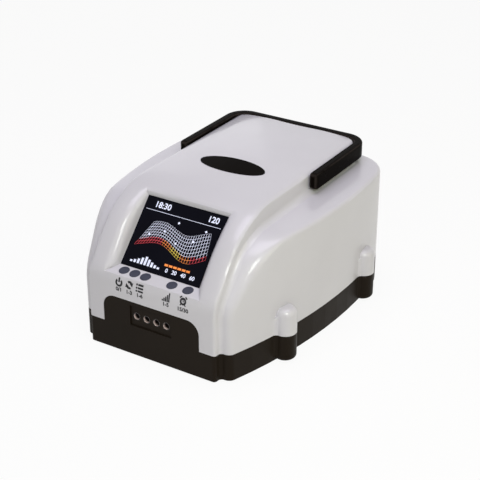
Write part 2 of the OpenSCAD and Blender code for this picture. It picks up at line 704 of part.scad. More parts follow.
// ---------- air ports ----------
socket_end = 15;
manifold_y = wall;
manifold_end = 19;
barb_l = 8;
module air_socket(i) {
    color("#C9B9B6") stand() difference() {
        rod_y([port_x[i], panel_sink, port_z], port_d, socket_end - panel_sink);
        rod_y([port_x[i], panel_sink - 1, port_z], port_bore, socket_end - panel_sink - 0.5);
        rod_y([port_x[i], 0, port_z], barb_d - 2, socket_end + 2);
    }
}
module air_socket_1() { air_socket(0); }
module air_socket_2() { air_socket(1); }
module air_socket_3() { air_socket(2); }
module air_socket_4() { air_socket(3); }
module port_manifold() {
    color("#3C3836") stand() difference() {
        union() {
            span([axis_x - 26, manifold_y, port_z - 8], [axis_x + 26, manifold_end, port_z + 8]);
            for (x = port_x) rod_y([x, manifold_end - 1, port_z], barb_d, barb_l + 1);
        }
        for (x = port_x) {
            rod_y([x, manifold_y - 1, port_z], port_d + 2 * bore_gap, socket_end - manifold_y + 1);
            rod_y([x, 0, port_z], barb_d - 2, manifold_end + barb_l + 1);
        }
    }
}
valve_y = 56;
valve_end = 73;
cover_end = 76;
module hose_tube(p, l) {
    difference() {
        rod_y(p, hose_d, l);
        rod_y(p - [0, 1, 0], barb_d + 2 * bore_gap, l + 2);
    }
}
module air_hose(i) {
    color("#E6E6E0") stand() hose_tube([port_x[i], manifold_end, port_z], valve_y - manifold_end);
}
module air_hose_1() { air_hose(0); }
module air_hose_2() { air_hose(1); }
module air_hose_3() { air_hose(2); }
module air_hose_4() { air_hose(3); }

// ---------- air distributor ----------
rotor_r = 20.2;
supply_x = axis_x - 20;
supply_z = port_z - 15;
module distributor_body() {
    color("#8D8F92") stand() difference() {
        union() {
            span([axis_x - 26, valve_y, valve_z0], [axis_x + 26, valve_end, port_z + 23.4]);
            for (x = port_x) rod_y([x, valve_y - barb_l, port_z], barb_d, barb_l + 1);
        }
        rod_y([axis_x, valve_end - 7, port_z], 2 * (rotor_r + bore_gap), 10);
        for (x = port_x) rod_y([x, valve_y - barb_l - 1, port_z], barb_d - 2, barb_l + 16);
    }
}
module distributor_cover() {
    color("#77797C") stand() difference() {
        union() {
            span([axis_x - 26, valve_end, valve_z0], [axis_x + 26, cover_end, port_z + 23.4]);
            rod_y([supply_x, cover_end - 1, supply_z], barb_d, barb_l + 1);
        }
        rod_y([axis_x, valve_end - 1, port_z], 5 + 2 * bore_gap, 10);
        rod_y([supply_x, valve_end - 1, supply_z], barb_d - 2, 20);
    }
}
module distributor_rotor() {
    color("#E8E2D0") stand() difference() {
        union() {
            rod_y([axis_x, valve_end - 6.7, port_z], 2 * rotor_r, 6.4);
            rod_y([axis_x, valve_end - 1, port_z], 5, 15);
        }
        for (a = [0, 180]) translate([axis_x, valve_end - 8, port_z]) rotate([0, a, 0])
            translate([12, 0, 0]) rotate([-90, 0, 0]) cylinder(d = 6, h = 10);
    }
}
module distributor_motor() {
    color("#A9ABAD") stand() difference() {
        union() {
            rod_y([axis_x, cover_end, port_z], 30, 10);
            rod_y([axis_x, cover_end + 9, port_z], 24, 27);
        }
        rod_y([axis_x, cover_end - 1, port_z], 5 + 2 * bore_gap, 13);
    }
}

// ---------- pump ----------
head_in = 34;
head_out = 52;
head_r = 20.5;
pump_axis_z = pump_z + 35;
plate_t = 2;
outlet_x = pump_x - 43;
outlet_y = pump_y - 25;
module supply_hose() {
    bend_r = 15;
    y0 = cover_end;
    y1 = y0 + 24;
    turn_y = y1 + bend_r;
    inner = barb_d + 2 * bore_gap;
    color("#E6E6E0") stand() translate([0, 0, supply_z]) difference() {
        hose_run(y0, y1, turn_y, bend_r, hose_d, 0);
        hose_run(y0, y1, turn_y, bend_r, inner, 1);
    }
}
module hose_run(y0, y1, turn_y, bend_r, d, past) {
    rod_y([supply_x, y0 - past, 0], d, y1 - y0 + past);
    translate([supply_x - bend_r, y1, 0]) rotate_extrude(angle = 90) translate([bend_r, 0]) circle(d = d);
    rod_x([outlet_x + bend_r, turn_y, 0], d, supply_x - outlet_x - 2 * bend_r);
    translate([outlet_x + bend_r, turn_y + bend_r, 0]) rotate([0, 0, 180]) rotate_extrude(angle = 90)
        translate([bend_r, 0]) circle(d = d);
    rod_y([outlet_x, turn_y + bend_r, 0], d, outlet_y - turn_y - bend_r + past);
}
module pump_plate() {
    color(steel) stand() difference() {
        span([pump_x - 56, pump_y - 37, pump_z], [pump_x + 56, pump_y + 37, pump_z + plate_t]);
        for (p = mount_at) translate([p[0], p[1], 0]) cylinder(d = 6.2, h = 40);
    }
}
module pump_mounts() {
    color("#26262A") stand() for (p = mount_at) translate([p[0], p[1], 6]) {
        cylinder(d = 14, h = pump_z - 6);
        cylinder(d = 6, h = pump_z - 6 + plate_t + 2);
    }
}
// One pump head, on the +X side of the pump.
module pump_head() {
    difference() {
        span([head_in, -25, plate_t + pump_z], [head_out, 25, pump_axis_z + 25]);
        rod_x([head_in - 1, 0, pump_axis_z], 2 * head_r, 13);
    }
}
module pump_head_right() { color("#9A9C9E") stand() translate([pump_x, pump_y, 0]) pump_head(); }
module pump_head_left() {
    color("#9A9C9E") stand() difference() {
        union() {
            translate([pump_x, pump_y, 0]) mirror([1, 0, 0]) pump_head();
            rod_y([outlet_x, outlet_y - barb_l, supply_z], barb_d, barb_l + 1);
        }
        rod_y([outlet_x, outlet_y - barb_l - 1, supply_z], barb_d - 2, barb_l + 10);
    }
}
disc_t = 2;
module pump_armature() {
    color("#5A5C60") stand() translate([pump_x, pump_y, 0])
        span([-head_in - 2, -10, pump_axis_z - 5], [head_in + 2, 10, pump_axis_z + 5]);
}
module diaphragm() { rod_x([head_in + 2, 0, pump_axis_z], 2 * head_r - 0.6, disc_t); }
module diaphragm_right() { color("#303030") stand() translate([pump_x, pump_y, 0]) diaphragm(); }
module diaphragm_left() { color("#303030") stand() translate([pump_x, pump_y, 0]) mirror([1, 0, 0]) diaphragm(); }
// One laminated core on the +Y side of the armature: an E of three legs.
core_y = 12;
module pump_core() {
    difference() {
        span([-27, core_y, pump_z + plate_t], [27, core_y + 20, pump_axis_z + 12]);
        for (x = [-13.5, 13.5]) span([x - 5.5, core_y - 1, 0], [x + 5.5, core_y + 14, 200]);
    }
}
module pump_coil() {
    difference() {
        span([-18.6, core_y + 1, pump_z + plate_t + 1], [18.6, core_y + 13, pump_axis_z + 17]);
        span([-8.4, core_y, pump_z + plate_t - 1], [8.4, core_y + 14, pump_axis_z + 12.4]);
    }
}
module pump_core_rear() { color("#6E6A66") stand() translate([pump_x, pump_y, 0]) pump_core(); }
module pump_core_front() { color("#6E6A66") stand() translate([pump_x, pump_y, 0]) mirror([0, 1, 0]) pump_core(); }
module pump_coil_rear() { color("#B4622E") stand() translate([pump_x, pump_y, 0]) pump_coil(); }
module pump_coil_front() { color("#B4622E") stand() translate([pump_x, pump_y, 0]) mirror([0, 1, 0]) pump_coil(); }
module intake_filter() {
    color("#DAD6C8") stand() rod_x([pump_x + head_out, pump_y, pump_axis_z], 24, 6);
}

// ---------- mains side ----------
board_top = 12 + board_t;
module main_board() {
    color(green) stand() translate([0, 0, 12]) difference() {
        span([47, 114, 0], [104, 226, board_t]);
        for (p = board_at) translate([p[0], p[1], -1]) cylinder(d = 3.2, h = 5);
    }
}
module transformer() {
    color("#7A6A50") stand() {
        span([56, 150, board_top], [96, 184, board_top + 32]);
        span([62, 144, board_top + 4], [90, 190, board_top + 28]);
    }
}
module power_capacitor() { color("#20304A") stand() translate([68, 206, board_top]) cylinder(d = 16, h = 25); }
module mains_fuse() {
    color("#D8D8D8") stand() {
        rod_y([90, 200, board_top + 4], 5, 20);
        for (y = [200, 215]) span([87, y, board_top], [93, y + 5, board_top + 3]);
    }
}
module pressure_sensor() {
    color("#222222") stand() {
        span([60, 122, board_top], [72, 134, board_top + 5]);
        translate([66, 128, board_top + 4]) cylinder(d = 4, h = 7);
    }
}
module mains_inlet() {
    color("#1A1A1A") stand() difference() {
        union() {
            span([inlet_x - 12, case_d - 1.5, inlet_z - 8], [inlet_x + 12, case_d, inlet_z + 8]);
            span([inlet_x - 9.4, case_d - 18, inlet_z - 5.4], [inlet_x + 9.4, case_d - 1, inlet_z + 5.4]);
        }
        span([inlet_x - 8, case_d - 12, inlet_z - 4.2], [inlet_x + 8, case_d + 1, inlet_z + 4.2]);
        for (s = [-1, 1]) rod_y([inlet_x + s * 4.3, case_d - 24, inlet_z], 2.4 + 2 * bore_gap, 20);
    }
}
module inlet_pins() {
    color("#C8B070") stand() for (s = [-1, 1]) rod_y([inlet_x + s * 4.3, case_d - 22, inlet_z], 2.4, 19);
}

lower_case();
upper_case();
rubber_feet();
case_screws();
display_window();
display_module();
display_frame();
display_board();
control_board();
tact_switches();
buzzer();
power_button();
cycle_button();
mode_button();
strength_button();
timer_button();
badge();
handle();
handle_pin_left();
handle_pin_right();
pin_clips();
air_socket_1();
air_socket_2();
air_socket_3();
air_socket_4();
port_manifold();
air_hose_1();
air_hose_2();
air_hose_3();
air_hose_4();
distributor_body();
distributor_cover();
distributor_rotor();
distributor_motor();
supply_hose();
pump_plate();
pump_mounts();
pump_head_left();
pump_head_right();
pump_armature();
diaphragm_left();
diaphragm_right();
pump_core_front();
pump_core_rear();
pump_coil_front();
pump_coil_rear();
intake_filter();
main_board();
transformer();
power_capacitor();
mains_fuse();
pressure_sensor();
mains_inlet();
inlet_pins();
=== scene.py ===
"""Looks of a table-top compression therapy pump, dressed over its CAD frame."""

import math

import bpy
from bpy.props import FloatProperty, FloatVectorProperty, PointerProperty
from mathutils import Matrix, Vector


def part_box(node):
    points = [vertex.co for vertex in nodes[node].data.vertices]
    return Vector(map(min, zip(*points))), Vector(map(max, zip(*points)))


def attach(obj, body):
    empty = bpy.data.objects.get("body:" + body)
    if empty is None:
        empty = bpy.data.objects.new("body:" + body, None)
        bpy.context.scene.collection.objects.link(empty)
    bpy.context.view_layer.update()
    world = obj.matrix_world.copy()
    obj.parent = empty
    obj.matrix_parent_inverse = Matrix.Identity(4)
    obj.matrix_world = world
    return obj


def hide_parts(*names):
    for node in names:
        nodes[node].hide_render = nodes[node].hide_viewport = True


bl_info = {
    "name": "Compression Pump Looks",
    "version": (1, 0, 0),
    "blender": (4, 5, 0),
    "location": "View3D > Sidebar > Pump",
    "description": "Dresses the compression pump and sets its stage",
    "category": "Object",
}

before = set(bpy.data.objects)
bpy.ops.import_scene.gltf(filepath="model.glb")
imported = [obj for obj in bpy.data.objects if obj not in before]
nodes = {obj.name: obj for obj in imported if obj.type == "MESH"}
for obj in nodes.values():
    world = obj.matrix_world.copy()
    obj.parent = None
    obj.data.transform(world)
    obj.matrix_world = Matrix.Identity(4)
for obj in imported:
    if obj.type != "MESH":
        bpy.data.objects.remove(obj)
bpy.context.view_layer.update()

MM = 0.001
NOSE_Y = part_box("lower_case")[0].y
BASE_Z = 1.5 * MM  # the feet lift the base by this
WINDOW_Y = NOSE_Y + 18 * MM  # the middle of the window's lower edge
WINDOW_Z = BASE_Z + 89 * MM
SHELL_ANGLE = math.radians(28)  # edges under this are drawn smooth
HANDLE_ANGLE = math.radians(32)
PICTURE_LIFT = 0.04 * MM
INK_LIFT = 0.07 * MM
KEYS = ("power", "cycle", "mode", "strength", "timer")
PORTS = range(1, 5)
TEXT_SIZE = 1.38  # size of a text over the height of its figures
WHITE = (1, 1, 1, 1)
BLACK = (0.0, 0.0, 0.0)

# The wave on the display, in millimetres from the middle of the window's lower edge
WAVE_HALF = 42
WAVE_FOOT = 26
WAVE_DEPTH = 25
WAVE_SWELL = 7.5
WAVE_TURNS = 1.15
WAVE_LAG = 0.6
WARM_REACH = 6.2
WARM_STEPS = (0.36, 0.5, 0.66, 0.8)
WARM_TINTS = (1, 2, 3, 2, 1)


def linear(code):
    """A colour code such as #D4D0D8 as the linear values that a shader takes."""
    parts = [int(code[i : i + 2], 16) / 255 for i in (1, 3, 5)]
    return [p / 12.92 if p <= 0.04045 else ((p + 0.055) / 1.055) ** 2.4 for p in parts]


def colour(name, description, code):
    return FloatVectorProperty(
        name=name, description=description, subtype="COLOR", size=3, min=0, max=1, default=linear(code)
    )


def length(name, description, value):
    return FloatProperty(
        name=name, description=description, unit="LENGTH", subtype="DISTANCE", default=value
    )


def share(name, description, value):
    return FloatProperty(
        name=name, description=description, subtype="FACTOR", min=0, max=1, default=value
    )


def power(name, description, value):
    return FloatProperty(name=name, description=description, min=0, max=100, default=value)


def point(name, description, value):
    return FloatVectorProperty(
        name=name, description=description, subtype="TRANSLATION", default=value
    )


# ---------------------------------------------------------------- settings


class PumpHousing(bpy.types.PropertyGroup):
    pearl: colour("Pearl", "Colour of the upper housing", "#D3D0D8")
    base: colour("Base", "Colour of the dark base", "#201912")
    gloss: colour("Gloss black", "Colour of the handle and the badge", "#120E0C")
    keys: colour("Keys", "Colour of the round keys", "#2B2E41")
    sockets: colour("Sockets", "Colour of the plated air sockets", "#F4DCD8")
    pearl_roughness: share("Pearl roughness", "Roughness of the upper housing", 0.36)
    grain: length("Grain", "Size of the fine grain in the moulded surfaces", 0.9 * MM)


class PumpScreen(bpy.types.PropertyGroup):
    glass: colour("Glass", "Colour of the dark display window", "#0E0E18")
    lines: colour("Lines", "Colour of the pale lines of the picture", "#D8DCF2")
    red: colour("Red", "First colour of the warm band", "#D8444E")
    orange: colour("Orange", "Middle colour of the warm band", "#E8863C")
    yellow: colour("Yellow", "Last colour of the warm band", "#E8D050")
    width: length("Width", "Width of the window", 96.6 * MM)
    height: length("Height", "Length of the window along its slant", 76.2 * MM)
    line: length("Line", "Width of a line of the picture", 0.5 * MM)
    slant: FloatProperty(
        name="Slant", description="Slant of the window", subtype="ANGLE", default=math.radians(47.1)
    )
    glow: FloatProperty(
        name="Glow", description="How strongly the picture shines", min=0, max=5, default=0.5
    )


class PumpPrint(bpy.types.PropertyGroup):
    ink: colour("Ink", "Colour of the printed symbols", "#1C1A20")
    symbol: length("Symbol", "Height of a printed symbol", 9.2 * MM)
    caption: length("Caption", "Height of the numbers under the symbols", 4.2 * MM)
    symbol_z: length("Symbol height", "Height of the symbols' middle above the base", 79.4 * MM)
    caption_z: length("Caption height", "Height of the numbers' middle above the base", 71.4 * MM)


class PumpStage(bpy.types.PropertyGroup):
    lens: FloatProperty(name="Lens", description="Focal length", unit="CAMERA", default=95.56)
    eye: point("Eye", "Place of the camera", (0.6578, -1.0268, 0.7011))
    aim: point("Aim", "Point that the camera looks at", (0.0152, -0.0073, 0.0803))
    floor: colour("Floor", "Colour of the floor", "#F4F3F2")
    sky: power("Sky", "Strength of the light from all round", 0.14)
    key: power("Key light", "Power of the lamp before and to the right", 7.7)
    top: power("Top light", "Power of the lamp overhead", 9.3)
    fill: power("Fill light", "Power of the weak lamp in front", 1.8)
    side: power("Side light", "Power of the warm lamp on the right", 2.6)
    rear: power("Rear light", "Power of the low lamp behind, on the left", 0.5)


# ---------------------------------------------------------------- shader groups


def group(name, inputs, outputs):
    tree = bpy.data.node_groups.new(name, "ShaderNodeTree")
    for label, kind, value in inputs:
        socket = tree.interface.new_socket(label, in_out="INPUT", socket_type=kind)
        if value is not None:
            socket.default_value = value
    for label, kind in outputs:
        tree.interface.new_socket(label, in_out="OUTPUT", socket_type=kind)
    return tree, tree.nodes.new("NodeGroupInput"), tree.nodes.new("NodeGroupOutput")


def wire(tree, *pairs):
    for source, target in pairs:
        tree.links.new(source, target)


def feed(tree, slot, value):
    """Gives a socket a number or a colour, or wires another socket into it."""
    if isinstance(value, bpy.types.NodeSocket):
        tree.links.new(value, slot)
    elif isinstance(value, (int, float)):
        slot.default_value = value
    else:
        slot.default_value = (*value, 1)


def noise(tree, place, scale, detail=2.0):
    node = tree.nodes.new("ShaderNodeTexNoise")
    node.inputs["Detail"].default_value = detail
    tree.links.new(place, node.inputs["Vector"])
    feed(tree, node.inputs["Scale"], scale)
    return node.outputs["Fac"]


def maths(tree, operation, *values):
    node = tree.nodes.new("ShaderNodeMath")
    node.operation = operation
    for slot, value in zip(node.inputs, values):
        feed(tree, slot, value)
    return node.outputs[0]


def product(tree, *values):
    """The values multiplied together, from the first on."""
    made = values[0]
    for value in values[1:]:
        made = maths(tree, "MULTIPLY", made, value)
    return made


def fade(tree, value, low, high):
    """0 where the value is at low and 1 where it is at high."""
    node = tree.nodes.new("ShaderNodeMapRange")
    for slot, limit in zip(("Value", "From Min", "From Max"), (value, low, high)):
        feed(tree, node.inputs[slot], limit)
    return node.outputs["Result"]


def blended(tree, amount, first, second):
    node = tree.nodes.new("ShaderNodeMix")
    node.data_type = "RGBA"
    for k, value in ((0, amount), (6, first), (7, second)):
        feed(tree, node.inputs[k], value)
    return node.outputs[2]


def moulded_skin():
    """Fine grain, cloudy gloss and a slight change of tone, as injection-moulded plastic has."""
    tree, ins, outs = group(
        "Moulded Skin",
        [
            ("Place", "NodeSocketVector", None),
            ("Colour", "NodeSocketColor", (0.8, 0.8, 0.8, 1)),
            ("Tone", "NodeSocketFloat", 0.04),
            ("Grain", "NodeSocketFloat", 900.0),
            ("Roughness", "NodeSocketFloat", 0.4),
            ("Clouding", "NodeSocketFloat", 0.06),
        ],
        [
            ("Colour", "NodeSocketColor"),
            ("Roughness", "NodeSocketFloat"),
            ("Height", "NodeSocketFloat"),
        ],
    )
    place = ins.outputs["Place"]
    broad = noise(tree, place, 16.0, 3.0)
    dark = blended(tree, ins.outputs["Tone"], ins.outputs["Colour"], BLACK)
    tinted = blended(tree, fade(tree, broad, 0.3, 0.7), dark, ins.outputs["Colour"])
    swing = maths(tree, "SUBTRACT", noise(tree, place, 55.0, 4.0), 0.5)
    cloud = product(tree, swing, ins.outputs["Clouding"], 2.0)
    rough = maths(tree, "ADD", ins.outputs["Roughness"], cloud)
    wire(
        tree,
        (tinted, outs.inputs["Colour"]),
        (rough, outs.inputs["Roughness"]),
        (noise(tree, place, ins.outputs["Grain"], 2.0), outs.inputs["Height"]),
    )
    return tree


def settled_dust():
    """A thin veil on what faces up, broken by noise."""
    tree, ins, outs = group(
        "Settled Dust",
        [
            ("Place", "NodeSocketVector", None),
            ("Facing", "NodeSocketVector", None),
            ("Amount", "NodeSocketFloat", 0.1),
        ],
        [("Mask", "NodeSocketFloat")],
    )
    split = tree.nodes.new("ShaderNodeSeparateXYZ")
    tree.links.new(ins.outputs["Facing"], split.inputs[0])
    up = fade(tree, split.outputs["Z"], 0.3, 1.0)
    broken = fade(tree, noise(tree, ins.outputs["Place"], 120.0, 5.0), 0.42, 0.7)
    wire(tree, (product(tree, up, broken, ins.outputs["Amount"]), outs.inputs["Mask"]))
    return tree


def hand_marks():
    """Smudges where hands have been, as a change of roughness."""
    tree, ins, outs = group(
        "Hand Marks",
        [
            ("Place", "NodeSocketVector", None),
            ("Roughness", "NodeSocketFloat", 0.1),
            ("Amount", "NodeSocketFloat", 0.1),
        ],
        [("Roughness", "NodeSocketFloat")],
    )
    smear = fade(tree, noise(tree, ins.outputs["Place"], 34.0, 6.0), 0.5, 0.75)
    fine = fade(tree, noise(tree, ins.outputs["Place"], 420.0, 3.0), 0.35, 0.7)
    rise = product(tree, smear, fine, ins.outputs["Amount"])
    wire(tree, (maths(tree, "ADD", ins.outputs["Roughness"], rise), outs.inputs["Roughness"]))
    return tree


def painted_edge_highlight():
    """A painted highlight: 1 on the rounded edges between faces that lie square to each other, broken up by
    noise.
    """
    tree, ins, outs = group(
        "Painted Edge Highlight",
        [("Place", "NodeSocketVector", None), ("Facing", "NodeSocketVector", None)],
        [("Mask", "NodeSocketFloat")],
    )
    split = tree.nodes.new("ShaderNodeSeparateXYZ")
    tree.links.new(ins.outputs["Facing"], split.inputs[0])
    x, y, z = [maths(tree, "ABSOLUTE", split.outputs[axis]) for axis in "XYZ"]
    largest = maths(tree, "MAXIMUM", maths(tree, "MAXIMUM", x, y), z)
    edge = fade(tree, largest, 0.985, 0.75)
    highlight_breakup = fade(tree, noise(tree, ins.outputs["Place"], 60.0, 4.0), 0.25, 0.55)
    wire(tree, (product(tree, edge, highlight_breakup), outs.inputs["Mask"]))
    return tree


def turned_marks():
    """Fine streaks of a turned, drawn or brushed metal, along one axis of its place."""
    tree, ins, outs = group(
        "Turned Marks",
        [
            ("Place", "NodeSocketVector", None),
            ("Colour", "NodeSocketColor", (0.7, 0.7, 0.7, 1)),
            ("Roughness", "NodeSocketFloat", 0.25),
        ],
        [
            ("Colour", "NodeSocketColor"),
            ("Roughness", "NodeSocketFloat"),
            ("Height", "NodeSocketFloat"),
        ],
    )
    streak = noise(tree, ins.outputs["Place"], 1.0, 4.0)
    dark = blended(tree, 0.22, ins.outputs["Colour"], BLACK)
    rough = maths(tree, "ADD", ins.outputs["Roughness"], product(tree, streak, 0.12))
    wire(
        tree,
        (blended(tree, streak, dark, ins.outputs["Colour"]), outs.inputs["Colour"]),
        (rough, outs.inputs["Roughness"]),
        (streak, outs.inputs["Height"]),
    )
    return tree


def layers():
    """Even bands across one axis of its place, as laminations, windings and ribs have."""
    tree, ins, outs = group(
        "Layers",
        [
            ("Along", "NodeSocketFloat", 0.0),
            ("Pitch", "NodeSocketFloat", 0.0005),
            ("Colour", "NodeSocketColor", (0.5, 0.5, 0.5, 1)),
            ("Groove", "NodeSocketColor", (0.1, 0.1, 0.1, 1)),
        ],
        [("Colour", "NodeSocketColor"), ("Height", "NodeSocketFloat")],
    )
    turns = maths(tree, "DIVIDE", ins.outputs["Along"], ins.outputs["Pitch"])
    wave = maths(tree, "SINE", product(tree, turns, 2 * math.pi))
    height = fade(tree, wave, -1.0, 0.2)
    wire(
        tree,
        (blended(tree, height, ins.outputs["Groove"], ins.outputs["Colour"]), outs.inputs["Colour"]),
        (height, outs.inputs["Height"]),
    )
    return tree


GROUPS = {}


def effect(name):
    """The shared node group of that name, built once."""
    if name not in GROUPS:
        GROUPS[name] = {
            "Moulded Skin": moulded_skin,
            "Settled Dust": settled_dust,
            "Hand Marks": hand_marks,
            "Painted Edge Highlight": painted_edge_highlight,
            "Turned Marks": turned_marks,
            "Layers": layers,
        }[name]()
    return GROUPS[name]


def put(tree, name, place=None, **values):
    """Places a shared group in a material, with its own values."""
    node = tree.nodes.new("ShaderNodeGroup")
    node.node_tree = effect(name)
    if place is not None:
        tree.links.new(place, node.inputs["Place"])
    for label, value in values.items():
        feed(tree, node.inputs[label], value)
    return node.outputs


# ---------------------------------------------------------------- materials

DUST = (0.55, 0.53, 0.5)


def material(name, roughness=0.4, metallic=0.0, coat=0.0, coat_roughness=0.1, specular=0.5):
    made = bpy.data.materials.new(name)
    made.use_nodes = True
    shader = made.node_tree.nodes["Principled BSDF"]
    shader.inputs["Roughness"].default_value = roughness
    shader.inputs["Metallic"].default_value = metallic
    shader.inputs["Coat Weight"].default_value = coat
    shader.inputs["Coat Roughness"].default_value = coat_roughness
    shader.inputs["Specular IOR Level"].default_value = specular
    return made, made.node_tree, shader


def object_place(tree, scale=(1, 1, 1)):
    """Object coordinates, stretched where a pattern runs along one axis, and the object's own normal."""
    coords = tree.nodes.new("ShaderNodeTexCoord")
    mapping = tree.nodes.new("ShaderNodeMapping")
    mapping.inputs["Scale"].default_value = scale
    tree.links.new(coords.outputs["Object"], mapping.inputs["Vector"])
    return mapping.outputs["Vector"], coords.outputs["Normal"]


def bump(tree, shader, height, depth):
    node = tree.nodes.new("ShaderNodeBump")
    node.inputs["Distance"].default_value = depth
    node.inputs["Strength"].default_value = 1.0
    wire(tree, (height, node.inputs["Height"]), (node.outputs["Normal"], shader.inputs["Normal"]))


def skinned(tree, place, tint, tone, grain, roughness, clouding):
    """The shared moulded skin. The grain is a number of cells per metre."""
    values = {"Colour": tint, "Tone": tone, "Grain": grain}
    return put(tree, "Moulded Skin", place, Roughness=roughness, Clouding=clouding, **values)


def show(tree, shader, tint, roughness):
    wire(tree, (tint, shader.inputs["Base Color"]), (roughness, shader.inputs["Roughness"]))


def moulded(
    name, tint, roughness, grain, depth, tone=0.05, clouding=0.04, dust=0.0, coat=0.0, specular=0.4
):
    """Moulded plastic: grain, clouding and, where it is wanted, a little dust on top."""
    made, tree, shader = material(name, coat=coat, coat_roughness=0.12, specular=specular)
    place, facing = object_place(tree)
    skin = skinned(tree, place, tint, tone, 1.0 / grain, roughness, clouding)
    tone_out = skin["Colour"]
    if dust:
        veil = put(tree, "Settled Dust", place, Facing=facing, Amount=dust)["Mask"]
        tone_out = blended(tree, veil, tone_out, DUST)
    show(tree, shader, tone_out, skin["Roughness"])
    bump(tree, shader, skin["Height"], depth)
    return made


def polished(name, tint, roughness, marks, specular, edge_highlight=None):
    """Gloss plastic with the smudges of hands on it and, where it is wanted, a painted highlight of a paler
    colour along its rounded edges.
    """
    made, tree, shader = material(name, specular=specular)
    place, facing = object_place(tree)
    # the paler colour on the rounded edges is a painted highlight
    if edge_highlight is not None:
        tint = blended(tree, put(tree, "Painted Edge Highlight", place, Facing=facing)["Mask"], tint, edge_highlight)
    skin = skinned(tree, place, tint, 0.3, 420.0, roughness, 0.02)
    smudged = put(tree, "Hand Marks", place, Roughness=skin["Roughness"], Amount=marks)
    show(tree, shader, skin["Colour"], smudged["Roughness"])
    bump(tree, shader, skin["Height"], 0.008 * MM)
    return made


def metal(name, tint, roughness, streaks=(300, 3000, 3000)):
    """Turned, drawn or brushed metal, its streaks stretched along one axis."""
    made, tree, shader = material(name, metallic=1.0)
    place, _ = object_place(tree, streaks)
    marks = put(tree, "Turned Marks", place, Colour=tint, Roughness=roughness)
    show(tree, shader, marks["Colour"], marks["Roughness"])
    bump(tree, shader, marks["Height"], 0.01 * MM)
    return made


def socket_plating(name, tint, shade, near, far):
    """The bright wall of a socket, dark on its end face, with a painted shade towards the bottom of its
    bore.
    """
    made, tree, shader = material(name, roughness=0.3)
    place, facing = object_place(tree)
    ahead = tree.nodes.new("ShaderNodeSeparateXYZ")
    inward = tree.nodes.new("ShaderNodeSeparateXYZ")
    wire(tree, (facing, ahead.inputs[0]), (place, inward.inputs[0]))
    front = fade(tree, ahead.outputs["Y"], -0.5, -0.8)
    # painted shade: darker towards the bottom of the bore
    bore_shade = fade(tree, inward.outputs["Y"], NOSE_Y + near, NOSE_Y + far)
    marks = put(tree, "Turned Marks", place, Colour=tint, Roughness=0.3)
    tone = blended(tree, maths(tree, "MAXIMUM", front, bore_shade), marks["Colour"], shade)
    show(tree, shader, tone, marks["Roughness"])
    bump(tree, shader, marks["Height"], 0.01 * MM)
    return made


def banded(name, tint, groove, pitch, axis, roughness, metallic=0.0):
    """Laminations, windings or ribs, banded across one axis."""
    made, tree, shader = material(name, roughness=roughness, metallic=metallic)
    place, _ = object_place(tree)
    split = tree.nodes.new("ShaderNodeSeparateXYZ")
    tree.links.new(place, split.inputs[0])
    bands = put(tree, "Layers", Along=split.outputs[axis], Pitch=pitch, Colour=tint, Groove=groove)
    skin = skinned(tree, place, bands["Colour"], 0.2, 700.0, roughness, 0.1)
    show(tree, shader, skin["Colour"], skin["Roughness"])
    bump(tree, shader, bands["Height"], pitch * 0.3)
    return made


def board_mask(name, tint):
    """Green solder mask over copper tracks."""
    made, tree, shader = material(name, coat=0.3)
    place, _ = object_place(tree)
    bricks = tree.nodes.new("ShaderNodeTexBrick")
    bricks.inputs["Scale"].default_value = 160.0
    bricks.inputs["Mortar Size"].default_value = 0.035
    bricks.offset = 0.37
    bricks.squash = 1.6
    tree.links.new(place, bricks.inputs["Vector"])
    tracks = blended(tree, bricks.outputs["Fac"], tint, [min(1, 2.2 * c) for c in tint])
    skin = skinned(tree, place, tracks, 0.15, 1500.0, 0.35, 0.05)
    show(tree, shader, skin["Colour"], skin["Roughness"])
    bump(tree, shader, bricks.outputs["Fac"], 0.03 * MM)
    return made


def lit(name, tint, glow):
    """A line of the picture on the display: it shines a little and keeps its colour."""
    made, tree, shader = material(name, roughness=0.3)
    shader.inputs["Emission Strength"].default_value = glow
    place, _ = object_place(tree)
    flicker = fade(tree, noise(tree, place, 260.0, 2.0), 0.3, 0.7)
    shade = blended(tree, flicker, [0.82 * c for c in tint], tint)
    wire(tree, (shade, shader.inputs["Base Color"]), (shade, shader.inputs["Emission Color"]))
    return made


def dress(made, *names):
    """Gives CAD nodes their material."""
    for name in names:
        body = nodes[name]
        if not body.material_slots:
            body.data.materials.append(made)
        for slot in body.material_slots:
            slot.material = made


# ---------------------------------------------------------------- modelling


def only(obj):
    """Selects one object and nothing else."""
    bpy.ops.object.select_all(action="DESELECT")
    obj.select_set(True)
    bpy.context.view_layer.objects.active = obj
    return obj


def added(name):
    """The object that an operator just added, named and alone in the selection."""
    obj = bpy.context.object
    obj.name = name
    obj.data.name = name
    return only(obj)


def settle(obj):
    """Puts an object's place, turn and size into its mesh."""
    only(obj)
    bpy.ops.object.transform_apply(location=True, rotation=True, scale=True)
    return obj


def apply_all(obj):
    only(obj)
    for modifier in list(obj.modifiers):
        bpy.ops.object.modifier_apply(modifier=modifier.name)
    return obj


def joined(name, parts):
    bpy.ops.object.select_all(action="DESELECT")
    for part in parts:
        part.select_set(True)
    bpy.context.view_layer.objects.active = parts[0]
    if len(parts) > 1:
        bpy.ops.object.join()
    return added(name)


def finish_piece(obj, made, body, slot, *stands_for):
    obj.data.materials.clear()
    obj.data.materials.append(made)
    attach(obj, body)
    if stands_for:
        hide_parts(*stands_for)
    return obj


def smooth_copy(name, node, angle):
    """A copy of a CAD node's mesh, with its triangles joined and its curved faces smooth."""
    copy = bpy.data.objects.new(name, nodes[node].data.copy())
    bpy.context.scene.collection.objects.link(copy)
    only(copy)
    bpy.ops.mesh.customdata_custom_splitnormals_clear()
    bpy.ops.object.mode_set(mode="EDIT")
    bpy.ops.mesh.select_all(action="SELECT")
    bpy.ops.mesh.remove_doubles(threshold=0.00001)
    bpy.ops.object.mode_set(mode="OBJECT")
    bpy.ops.object.shade_smooth_by_angle(angle=angle)
    return copy


